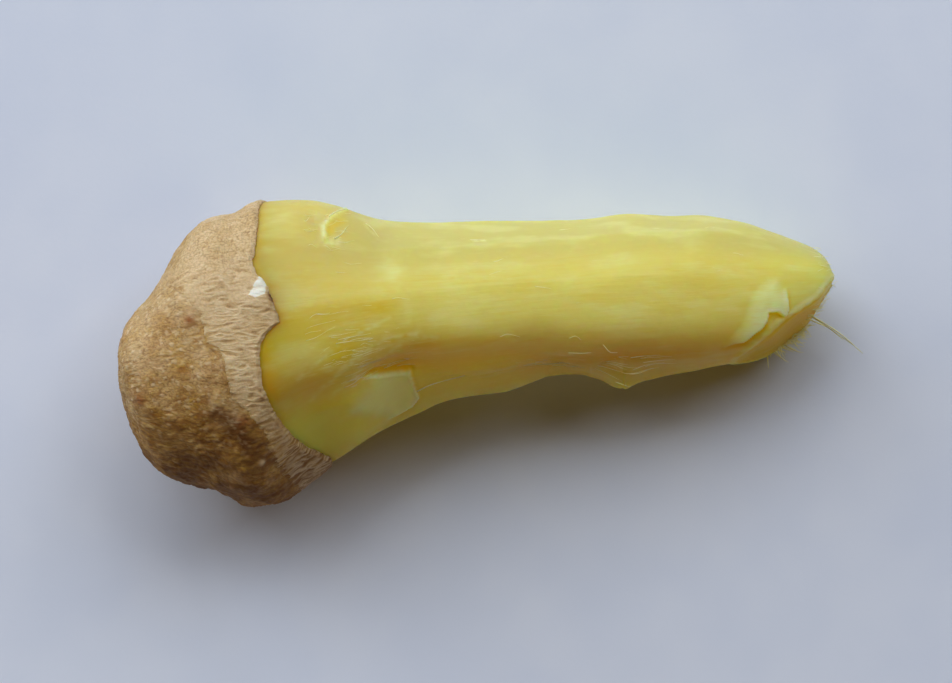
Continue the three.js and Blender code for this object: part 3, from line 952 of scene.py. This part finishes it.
class Flesh:
    """The flesh's grid of places on the form, and the marks that its relief and its colours both follow."""

    COLUMNS, ROWS = 264, 358

    def __init__(self):
        turns = ring_angles(int(self.COLUMNS * FINE))[None]
        cut_edge = skin_edge_fine(turns)
        first = cut_edge - UNDER_SKIN
        s = first + (END - END_GAP - first) * np.linspace(0, 1, int(self.ROWS * FINE))[:, None]
        hidden = mix(START + END_GAP, first, np.arange(HIDDEN_ROWS)[:, None] / HIDDEN_ROWS)
        self.hidden_points = form.at(hidden, turns, -HIDDEN_DEPTH)
        self.hidden_grain = grain_of(hidden, turns)
        self.s, self.angle = s, np.broadcast_to(turns, s.shape)
        self.base = form.at(s, turns)
        self.normal = normals_of(self.base)
        self.grain = grain_of(s, turns)
        self.edge = s - cut_edge
        self.xy = self.base[..., :2]
        self.top = smooth(self.normal[..., 2], 0.0, 0.25)
        self.under_side = smooth(np.sin(np.radians(self.angle)), 0.3, -0.3)
        self.neck = self.stretch(30, 47, 3, 122, 30)
        self.lower_rim = self.stretch(44, 70, 6, 155, 16)
        around = np.radians(turn_from(self.angle, NICK[1])) * NECK_RADIUS
        self.torn = bell(s - NICK[0], NICK_SIZE[0]) * bell(around, NICK_SIZE[1])
        patchy = smooth(layered(self.base / 2.2, 2, 99), -0.5, 0.3)
        self.scrape = near_lines(self.xy, SCRAPES) * self.top * patchy
        self.flap, self.sheet, self.rim_gap_shadow = (self.top * value for value in flap_relief(self.xy))
        self.mark_cuts()

    def stretch(self, first, last, soft, turn, spread):
        """A mark from the first to the last s, with ends that soft, and to both sides of one angle."""
        return between(self.s, first, last, soft) * bell(turn_from(self.angle, turn), spread)

    def mark_cuts(self):
        """The flats of the cut tip: how far each place is on one, by its rim, and ochre."""
        self.cut_depth, cut_rim, self.cut_ochre = (np.zeros(self.s.shape) for _ in range(3))
        for point, facing, tone in TIP_CUTS:
            beyond = (self.base - point) @ unit(np.array(facing)) + 0.15 * noise(self.base / 1.1, 121)
            on_flat = smooth(beyond, -0.75, -0.35)
            self.cut_depth = np.maximum(self.cut_depth, on_flat)
            cut_rim = np.maximum(cut_rim, bell(beyond + 0.95, 0.3))
            self.cut_ochre = np.maximum(self.cut_ochre, tone * on_flat * smooth(self.base[..., 0], 95, 102))
        self.cut_rim = cut_rim * (1 - self.cut_depth)

    def relief(self):
        """How far the flesh stands off the form."""
        s, angle, base, grain, top, xy = self.s, self.angle, self.base, self.grain, self.top, self.xy
        fibre = ridged(grain / [11, 0.9, 0.9] + 0.12 * noise(base / 3, 72)[..., None], 2, 73)
        height = -knife_flats(s, angle) + (0.02 + 0.07 * self.under_side) * (fibre - 0.6)
        height += 0.09 * layered(base / [7, 4.5, 4.5], 2, 81) + 0.008 * noise(base / 0.7, 83)
        height -= self.torn * (0.3 + 0.5 * ridged(grain / [1.3, 0.6, 0.6], 2, 91))
        from_rim = away_from_line(xy + 0.25 * noise(base / 0.8, 93)[..., None], NICK_RIM)
        height += 0.45 * top * bell(from_rim, 0.4)
        slit = top * bell(away_from_line(xy, SLIT), 0.35)
        height -= 0.45 * slit
        height += 0.12 * self.neck * (ridged(grain / [4.5, 0.75, 0.75], 2, 95) - 0.6)
        height += 0.17 * self.lower_rim * (ridged(grain / [9, 0.75, 0.75], 2, 97) - 0.5)
        height += 0.08 * self.scrape + 0.05 * top * near_lines(xy, PALE_LINES)
        height = height * (1 - 0.7 * self.sheet.clip(0, 1)) + self.flap - 0.12 * self.rim_gap_shadow
        ridge_height = smooth(s, 44, 50) * (0.5 + 0.4 * between(s, 57, 75, 5))
        height += ridge_height * top * bell(away_from_line(xy, RIDGE), 3.0)
        height -= 0.3 * self.cut_depth
        height += 0.22 * self.cut_rim
        height -= np.interp(base[..., 0], *np.array(NEAR_TRIM).T) * bell(turn_from(angle, 178), 28)
        return mix(-0.05, height, smooth(self.edge, 0.0, 1.0))

    def ochre_and_shade(self, near_side):
        """Deeper ochre flesh on the cut faces, along some lines, on the neck and on the underside; and
        painted shade in the slit, in the trough along the near side, under the loose rims of the flaps and
        over the near side.
        """
        cloudy = smooth(layered(self.grain / [6, 2, 2], 2, 105), 0.2, -0.5)
        # The gap under the loose rims, coloured ochre, is a painted shadow
        ochre_and_shade = near_lines(self.xy, OCHRE_AND_SHADE_LINES) * self.top + self.cut_ochre + 0.7 * self.rim_gap_shadow
        ochre_and_shade += self.neck * (0.15 + 0.3 * cloudy) + 0.25 * self.under_side
        # Painted shade: the near side, which lies in shade, is given a deeper ochre with less blue
        ochre_and_shade += 0.45 * near_side * smooth(self.s, 50, 75)
        return ochre_and_shade * (1 - self.sheet)

    def pale(self):
        """Dry or scraped flesh and the paler flaps, with painted highlights along the rim of the cut tip and
        the flaps' loose rims.
        """
        base, grain = self.base, self.grain
        fine = smooth(ridged(grain / [7, 0.55, 0.55], 2, 101), 0.8, 0.96)
        cloudy = smooth(layered(grain / [8, 3, 3], 3, 103), -0.1, 0.6)
        lines = self.top * near_lines(self.xy, [(NICK_RIM, 0.35, 0.75)] + PALE_LINES)
        pale = 0.15 * self.torn + 0.6 * self.scrape + lines * smooth(noise(base / 0.9, 107), -0.6, 0.2)
        pale += fine * (0.35 * self.neck + 0.6 * self.lower_rim + 0.08) + 0.25 * cloudy
        pale = pale * (1 - self.rim_gap_shadow) * (1 - self.cut_depth)
        # A painted highlight: a pale line along the sharp rim of the cut tip, where the edge catches the
        # light
        pale += 0.5 * self.cut_rim * smooth(noise(base / 1.2, 123), -0.5, 0.3)
        return pale + self.sheet * (0.95 + 0.25 * noise(base / 1.3, 113))

    def colours(self):
        """How strong each of the material's marks is at each place, 0 to 1."""
        s, angle = self.s, self.angle
        upper = smooth(angle, 70, 110) * smooth(angle, 320, 260)
        by_skin = np.exp(-np.clip(self.edge, 0, None) / 7) * mix(0.6, 1.0, upper)
        near_side = smooth(angle, 110, 150) * smooth(angle, 235, 200)
        # Painted light: the near side of the neck and finger, which lies in shade, is coloured brighter
        near = mix(0.85, 0.7, smooth(s, 40, 50)) * near_side * smooth(s, 72, 50) * smooth(angle, 205, 165)
        # The flap on the near side: partly its own paler colour, partly painted light for the light that
        # comes through it
        near_sheet = 0.75 * self.sheet.clip(0, 1) * near_side
        return {
            "ochre_and_shade": np.clip(self.ochre_and_shade(near_side), 0, 1),
            "pale": np.clip(self.pale(), 0, 1),
            # deep: darker ochre toward the skin, and a narrow band at its cut edge that is partly painted
            # shade under the skin's step
            "deep": np.clip(by_skin + 0.35 * bell(self.edge, 1.2), 0, 1),
            # Painted shade: the far side, which faces the window, is coloured darker
            "far": smooth(np.abs(turn_from(angle, 0)), 68, 40),
            "near": near * (1 - near_sheet),
            "sheet": near_sheet,
        }

    def make(self):
        outer = self.base + self.normal * self.relief()[..., None]
        points = np.concatenate([self.hidden_points, outer])
        floats = self.colours()
        floats = {key: np.concatenate([value[:1]] * HIDDEN_ROWS + [value]) for key, value in floats.items()}
        vectors = {"grain": np.concatenate([self.hidden_grain, self.grain])}
        return closed_grid("peeled_flesh", points, FLESH, floats, vectors)


make_young_skin()
make_old_skin()
flesh = Flesh().make()


# ---- What stands on the flesh ----
def tree_of(piece):
    corners = [Vector(np.array(v.co) / MM - ORIGIN) for v in piece.data.vertices]
    return BVHTree.FromPolygons(corners, [p.vertices[:] for p in piece.data.polygons])


FLESH_TREE = tree_of(flesh)
OVER_ROOT = 60  # a height above the whole root
BESIDE_ROOT = 12.0  # the height of a strand where it passes the flesh's outline


def from_above(xy, lift):
    """The point of the flesh straight below x, y, raised by lift."""
    hit = FLESH_TREE.ray_cast(Vector((*xy, OVER_ROOT)), Vector((0, 0, -1)))[0]
    return np.array([*xy, (hit.z if hit else BESIDE_ROOT) + lift])


class Strands:
    """Many fine tapering tubes in one mesh."""

    SIDES = 5

    def __init__(self):
        self.points, self.faces = [], []

    def add(self, path, radius, tip_radius):
        path = np.array(path, float)
        along = unit(np.gradient(path, axis=0))
        side = unit(np.cross(along, [0.05, 0.1, 1.0]))
        other = np.cross(along, side)
        radii = mix(radius, tip_radius, np.linspace(0, 1, len(path)) ** 1.5)
        base = len(self.points)
        for p, a, b, r in zip(path, side, other, radii):
            for k in range(self.SIDES):
                turn = 2 * np.pi * k / self.SIDES
                self.points.append(p + r * (a * np.cos(turn) + b * np.sin(turn)))
        for i in range(len(path) - 1):
            for k in range(self.SIDES):
                a, b = base + i * self.SIDES + k, base + i * self.SIDES + (k + 1) % self.SIDES
                self.faces.append((a, b, b + self.SIDES, a + self.SIDES))
        ends = [base + k for k in range(self.SIDES)]
        self.faces.append(tuple(ends[::-1]))
        self.faces.append(tuple(e + (len(path) - 1) * self.SIDES for e in ends))

    def make(self, name, material):
        points = np.array(self.points)
        new_piece(name, points, self.faces, material, {"place": points})


def curve_through(points, count):
    """A smooth path of count points through a few."""
    points = np.array(points, float)
    knots = np.linspace(0, 1, len(points))
    return table_at(np.column_stack([knots, points]), np.linspace(0, 1, count))


# Loose fibres at the cut tip: points, steps, radius at the root and at the end.
LOOSE_FIBRES = [
    ([(106, -0.9, 9), (109.3, -2.5, 8.4), (113.7, -5.2, 7.6), (117.5, -8.3, 6.4)], 24, 0.14, 0.05),
    ([(106, -1.9, 8.2), (109.8, -3.3, 7.3), (111.9, -4.2, 6.9), (114.5, -6.1, 6)], 18, 0.12, 0.04),
    ([(106, -1.2, 8.8), (109.9, -3, 8), (114, -5.7, 7.2), (116.2, -7.2, 6.8)], 20, 0.08, 0.03),
]
# Single strands that lie on the flesh: points as seen from above, how far the middle stands off, radius.
LAID_STRANDS = [
    ([(45.9, -14.1), (47.7, -13.2), (49.5, -12.6), (53.3, -11.6)], 0.35, 0.11),
    ([(58.6, -5.7), (59.8, -5.3), (61.6, -5.7)], 0.5, 0.05),
    ([(69.1, -5.9), (70, -5.6), (70.9, -6.2)], 0.6, 0.06),
    ([(74.3, -6.9), (75.4, -8), (76.6, -8.1)], 0.4, 0.07),
    ([(69, -8.1), (70.8, -8.2), (72.6, -8.1)], 0.3, 0.06),
    ([(54.1, 9), (56.4, 9)], 0.1, 0.06),
    ([(38.3, 11.5), (39.3, 10.7), (40.3, 9.4)], 0.3, 0.07),
    ([(33.9, 8.9), (34.9, 9.6), (35.6, 10.8)], 0.5, 0.1),
    ([(32.9, 12.4), (34, 13.3), (35.8, 13.9)], 0.5, 0.1),
]
# Short fibres that the knife raised: first and last s, angle, its spread, count, length, stand-off.
RAISED_FIBRES = [
    (30, 45, 112, 14, 110, 3.5, 0.12),
    (46, 80, 152, 8, 100, 4.5, 0.12),
    (48, 98, 112, 4, 16, 2.5, 0.25),
    (32, 37, 36, 9, 26, 1.8, 0.5),
    (50, 95, 70, 30, 20, 3, 0.06),
]
# The tangle along the lower edge of the larger cut: count, the edge's two ends, the way the fibres point.
TANGLE = (140, (102.4, -7.7, 7.5), (107.4, -4.0, 7.0), (0.75, -0.35, 0.2))
RIM_FUZZ = 90  # fibres round the rim of the cut tip


def add_laid(strands):
    for line, lift, radius in LAID_STRANDS:
        path = curve_through(line, 12)
        bow = np.sin(np.linspace(0, np.pi, 12)) * lift
        strands.add([from_above(p, 0.02 + b) for p, b in zip(path, bow)], radius, radius * 0.5)


def add_raised(strands, rng):
    for first, last, turn, spread, count, length, lift in RAISED_FIBRES:
        for _ in range(count):
            s0, a0 = rng.uniform(first, last), rng.normal(turn, spread)
            reach = length * rng.uniform(0.4, 1.2)
            t = np.linspace(0, 1, 9)
            drift = rng.normal(0, 1.6)
            lifts = lift * rng.uniform(0.2, 1.0) * t**2 - 0.05 - knife_flats(s0, a0)
            path = form.at(s0 + reach * t, a0 + drift * t + rng.normal(0, 0.5) * np.sin(t * 5), lifts)
            strands.add(path, rng.uniform(0.03, 0.065), 0.015)


def add_tangle(strands, rng):
    count, one_end, other_end, way = TANGLE
    for _ in range(count):
        along = rng.uniform(0, 1)
        root = mix(np.array(one_end), np.array(other_end), along) + rng.normal(0, 0.5, 3)
        aim = np.array(way) + rng.normal(0, 0.45, 3)
        t = np.linspace(0, 1, 9)[:, None]
        bend = rng.normal(0, 0.5, 3) * np.sin(2 * t)
        path = root + aim * t * rng.uniform(0.8, 2.2) + bend
        strands.add(path, rng.uniform(0.06, 0.11), 0.02)


def add_fuzz(strands, rng):
    for _ in range(RIM_FUZZ):
        s0, a0 = rng.uniform(107, 112.5), rng.uniform(-60, 300)
        t = np.linspace(0, 1, 7)
        ahead = 0.8 * t * rng.uniform(0.5, 1.5)
        turn = rng.normal(0, 5) * t
        path = form.at(s0 + ahead, a0 + turn, -0.1 + rng.uniform(0.2, 1.0) * t)
        strands.add(path, rng.uniform(0.03, 0.06), 0.015)


def make_fibres():
    strands = Strands()
    for points, steps, radius, tip_radius in LOOSE_FIBRES:
        strands.add(curve_through(points, steps), radius, tip_radius)
    add_laid(strands)
    rng = np.random.default_rng(21)
    add_raised(strands, rng)
    add_tangle(strands, rng)
    add_fuzz(strands, rng)
    strands.make("loose_fibres", FIBRE)


make_fibres()


# ---- Paper, window and camera ----
PAPER_HALF = 1.5  # metres


def make_paper():
    corners = [(x * PAPER_HALF, y * PAPER_HALF, 0) for x, y in ((-1, -1), (1, -1), (1, 1), (-1, 1))]
    mesh = bpy.data.meshes.new("paper")
    mesh.from_pydata(corners, [], [(0, 1, 2, 3)])
    mesh.materials.append(paper_material())
    paper = bpy.data.objects.new("paper", mesh)
    bpy.context.scene.collection.objects.link(paper)


LIT_PLACE = (55, -6, 10)  # what the lights face
LIGHT_DISTANCE = 2.0  # metres
DAYLIGHT = (0.81, 0.88, 1.0)
LAMPLIGHT = (1.0, 0.6, 0.2)
ROOM_LIGHT = (1.0, 0.85, 0.7, 1)


def panel(name, azimuth, elevation, size, power, colour):
    """A soft panel of light: degrees clockwise from +Y and above the paper, metres, watts."""
    data = bpy.data.lights.new(name, "AREA")
    data.shape = "RECTANGLE"
    data.size, data.size_y = size
    data.energy = power
    data.color = colour
    light = bpy.data.objects.new(name, data)
    around, up = np.radians(azimuth), np.radians(elevation)
    outward = Vector((np.sin(around) * np.cos(up), np.cos(around) * np.cos(up), np.sin(up)))
    light.location = Vector(to_world(LIT_PLACE)) + LIGHT_DISTANCE * outward
    light.rotation_euler = outward.to_track_quat("Z", "Y").to_euler()
    light.visible_camera = False
    bpy.context.scene.collection.objects.link(light)


def make_lights():
    for azimuth in (-40, 0, 40):
        panel("window", azimuth, 44.5, (1.0, 1.15), 13.1, DAYLIGHT)
    panel("far_window", -60, 17, (2.2, 0.92), 21, DAYLIGHT)
    panel("warm_wall", 165, 40, (2.0, 1.0), 3.9, LAMPLIGHT)
    world = bpy.data.worlds.new("room")
    world.use_nodes = True
    background = world.node_tree.nodes["Background"]
    background.inputs["Color"].default_value = ROOM_LIGHT
    background.inputs["Strength"].default_value = 0.01
    bpy.context.scene.world = world


CAMERA_HEIGHT = 300  # above the paper
CAMERA_OVER = (55.0, -6.4)  # X, Y
IMAGE_WIDTH = 952  # pixels
FOCAL_PIXELS = 1816  # the focal length in pixels
SENSOR = 36  # its width


def make_camera():
    data = bpy.data.cameras.new("camera")
    data.sensor_width = SENSOR
    data.lens = FOCAL_PIXELS / IMAGE_WIDTH * SENSOR
    data.clip_start = 0.01  # metres
    camera = bpy.data.objects.new("camera", data)
    camera.location = (np.array([*CAMERA_OVER, CAMERA_HEIGHT]) + ORIGIN) * MM
    bpy.context.scene.collection.objects.link(camera)
    bpy.context.scene.camera = camera


make_paper()
make_lights()
make_camera()
bpy.context.scene.view_settings.view_transform = "Standard"
bpy.context.scene.view_settings.gamma = 0.88  # the contrast of a small camera
